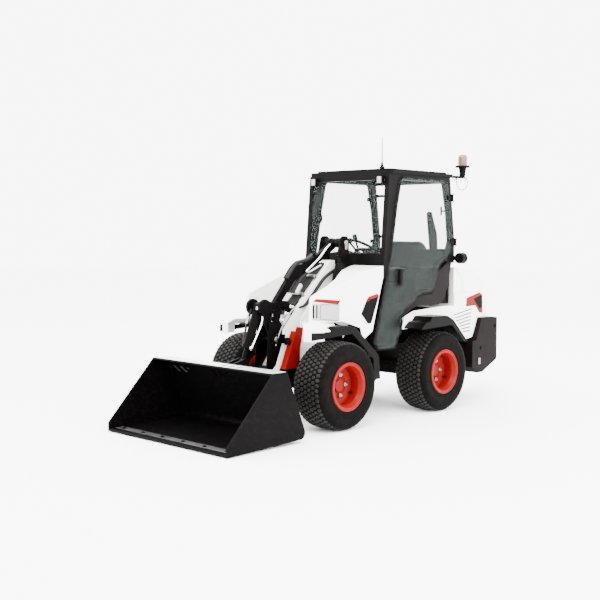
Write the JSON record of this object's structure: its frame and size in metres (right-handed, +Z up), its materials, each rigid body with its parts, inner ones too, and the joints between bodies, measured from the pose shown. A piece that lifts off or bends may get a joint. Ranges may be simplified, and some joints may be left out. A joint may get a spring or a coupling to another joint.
{
  "type": "compact wheel loader",
  "caption": "Small articulated wheel loader with a glazed cab over the front frame, a levelling boom with a wide bucket, turf tyres and a cast tail weight.",
  "frame": {"origin": "middle of the machine's plan, on the ground", "axes": "+X to the machine's left, +Y to its rear, +Z up; the bucket faces -Y"},
  "size_m": [1.3, 3.519, 2.2279],
  "materials": {
    "white_panel": "gloss",
    "black_frame": "satin",
    "black_steel": "satin",
    "cab_plastic": "grained",
    "grey_skirt": "grained",
    "red_paint": "gloss",
    "tyre": "turf tread",
    "chrome": "polished",
    "glass": "clear",
    "door_glass": "tinted",
    "seat_vinyl": "vinyl",
    "amber_lens": "ribbed",
    "lamp": "clear lens",
    "cast_iron": "painted"
  },
  "bodies": {
    "front": {"front_frame": "black_frame", "front_axle": "cast_iron", "cowl": "white_panel", "front_fenders": "cab_plastic", "boom_support": "red_paint", "cab_frame": "black_frame", "cab_roof": "cab_plastic", "cab_floor": "cab_plastic", "cab_glass": "glass", "cab_skirts": "grey_skirt", "seat_pod": "cab_plastic", "seat_cushion": "seat_vinyl", "seat_back": "seat_vinyl", "steering_wheel": "cab_plastic", "lamps": "lamp", "beacon_base": "cab_plastic", "beacon_lens": "amber_lens", "beacon_lead": "cab_plastic", "antenna": "cab_plastic"},
    "rear": {"rear_frame": "black_frame", "rear_axle": "cast_iron", "engine_block": "cast_iron", "rear_body": "white_panel", "rear_fenders": "cab_plastic", "counterweight": "black_steel", "rear_grille": "cab_plastic"},
    "hood": {"hood": "white_panel"},
    "boom": {"boom": "white_panel"},
    "levelling_link": {"levelling_link": "black_steel"},
    "rocker": {"rocker": "black_steel"},
    "tilt_pin": {"tilt_pin": "chrome"},
    "tilt_barrel": {"tilt_barrel": "black_steel"},
    "tilt_rod": {"tilt_rod": "chrome"},
    "nose_pin": {"nose_pin": "chrome"},
    "bucket": {"hitch": "black_steel", "bucket": "black_steel"},
    "lift_barrel": {"lift_barrel": "black_steel"},
    "lift_rod": {"lift_rod": "chrome"},
    "steer_barrel": {"steer_barrel": "black_steel"},
    "steer_rod": {"steer_rod": "chrome"},
    "door_left": {"door_glass_left": "door_glass", "door_fittings_left": "cab_plastic"},
    "wheel_front_left": {"rim_front_left": "red_paint", "tyre_front_left": "tyre"},
    "wheel_rear_left": {"rim_rear_left": "red_paint", "tyre_rear_left": "tyre"},
    "door_right": {"door_glass_right": "door_glass", "door_fittings_right": "cab_plastic"},
    "wheel_front_right": {"rim_front_right": "red_paint", "tyre_front_right": "tyre"},
    "wheel_rear_right": {"rim_rear_right": "red_paint", "tyre_rear_right": "tyre"}
  },
  "joints": [
    {"name": "wheel_front_left_spin", "type": "hinge", "parent": "front", "child": "wheel_front_left", "pos_m": [0.461, -0.51, 0.33], "axis": [1, 0, 0], "continuous": true},
    {"name": "wheel_front_right_spin", "type": "hinge", "parent": "front", "child": "wheel_front_right", "pos_m": [-0.461, -0.51, 0.33], "axis": [1, 0, 0], "continuous": true},
    {"name": "wheel_rear_left_spin", "type": "hinge", "parent": "rear", "child": "wheel_rear_left", "pos_m": [0.461, 0.69, 0.33], "axis": [1, 0, 0], "continuous": true},
    {"name": "wheel_rear_right_spin", "type": "hinge", "parent": "rear", "child": "wheel_rear_right", "pos_m": [-0.461, 0.69, 0.33], "axis": [1, 0, 0], "continuous": true},
    {"name": "articulation", "type": "hinge", "parent": "front", "child": "rear", "pos_m": [0, 0.09, 0.344], "axis": [0, 0, 1], "range_deg": [-40, 40]},
    {"name": "steer_barrel_turn", "type": "hinge", "parent": "front", "child": "steer_barrel", "pos_m": [0.15, -0.32, 0.344], "axis": [0, 0, 1], "range_deg": [-3, 3]},
    {"name": "steer_rod_slide", "type": "slide", "parent": "steer_barrel", "child": "steer_rod", "axis": [0, 1, 0], "range_m": [-0.1, 0.1]},
    {"name": "hood_hinge", "type": "hinge", "parent": "rear", "child": "hood", "pos_m": [0, 1.594, 0.948], "axis": [-1, 0, 0], "range_deg": [0, 60]},
    {"name": "door_left_hinge", "type": "hinge", "parent": "front", "child": "door_left", "pos_m": [0.448, 0.98, 1.767], "axis": [0, -0.1328, 0.9911], "range_deg": [0, 75]},
    {"name": "door_right_hinge", "type": "hinge", "parent": "front", "child": "door_right", "pos_m": [-0.448, 0.98, 1.767], "axis": [0, -0.1328, 0.9911], "range_deg": [-75, 0]},
    {"name": "boom_lift", "type": "hinge", "parent": "front", "child": "boom", "pos_m": [0, -0.063, 1.141], "axis": [-1, 0, 0], "range_deg": [0, 90]},
    {"name": "levelling_link_turn", "type": "hinge", "parent": "front", "child": "levelling_link", "pos_m": [0, -0.01, 1.385], "axis": [-1, 0, 0], "range_deg": [-5, 95]},
    {"name": "rocker_turn", "type": "hinge", "parent": "boom", "child": "rocker", "pos_m": [0, -0.75, 0.661], "axis": [-1, 0, 0], "range_deg": [-95, 5]},
    {"name": "tilt_pin_turn", "type": "hinge", "parent": "rocker", "child": "tilt_pin", "pos_m": [0, -0.86, 0.906], "axis": [-1, 0, 0], "range_deg": [-5, 95]},
    {"name": "tilt_barrel_turn", "type": "hinge", "parent": "tilt_pin", "child": "tilt_barrel", "pos_m": [0, -0.86, 0.906], "axis": [-1, 0, 0], "range_deg": [-30, 30]},
    {"name": "tilt_rod_slide", "type": "slide", "parent": "tilt_barrel", "child": "tilt_rod", "axis": [0, -0.3666, -0.9304], "range_m": [-0.09, 0.2]},
    {"name": "nose_pin_turn", "type": "hinge", "parent": "boom", "child": "nose_pin", "pos_m": [0, -0.91, 0.255], "axis": [-1, 0, 0], "range_deg": [-95, 5]},
    {"name": "bucket_tilt", "type": "hinge", "parent": "nose_pin", "child": "bucket", "pos_m": [0, -0.91, 0.255], "axis": [-1, 0, 0], "range_deg": [-45, 20]},
    {"name": "lift_barrel_turn", "type": "hinge", "parent": "front", "child": "lift_barrel", "pos_m": [0, -0.21, 0.452], "axis": [-1, 0, 0], "range_deg": [-20, 5]},
    {"name": "lift_rod_slide", "type": "slide", "parent": "lift_barrel", "child": "lift_rod", "axis": [0, 0.1673, 0.9859], "range_m": [-0.01, 0.22]}
  ],
  "couplings": [
    {"joint": "levelling_link_turn", "follows": "boom_lift", "ratio": 1},
    {"joint": "rocker_turn", "follows": "boom_lift", "ratio": -1},
    {"joint": "tilt_pin_turn", "follows": "boom_lift", "ratio": 1},
    {"joint": "nose_pin_turn", "follows": "boom_lift", "ratio": -1},
    {"joint": "lift_barrel_turn", "follows": "boom_lift", "ratio": -0.168},
    {"joint": "lift_rod_slide", "follows": "boom_lift", "m_per_rad": 0.132},
    {"joint": "tilt_barrel_turn", "follows": "bucket_tilt", "ratio": -0.228},
    {"joint": "tilt_rod_slide", "follows": "bucket_tilt", "m_per_rad": -0.204},
    {"joint": "steer_barrel_turn", "follows": "articulation", "ratio": -0.03},
    {"joint": "steer_rod_slide", "follows": "articulation", "m_per_rad": 0.1375}
  ]
}
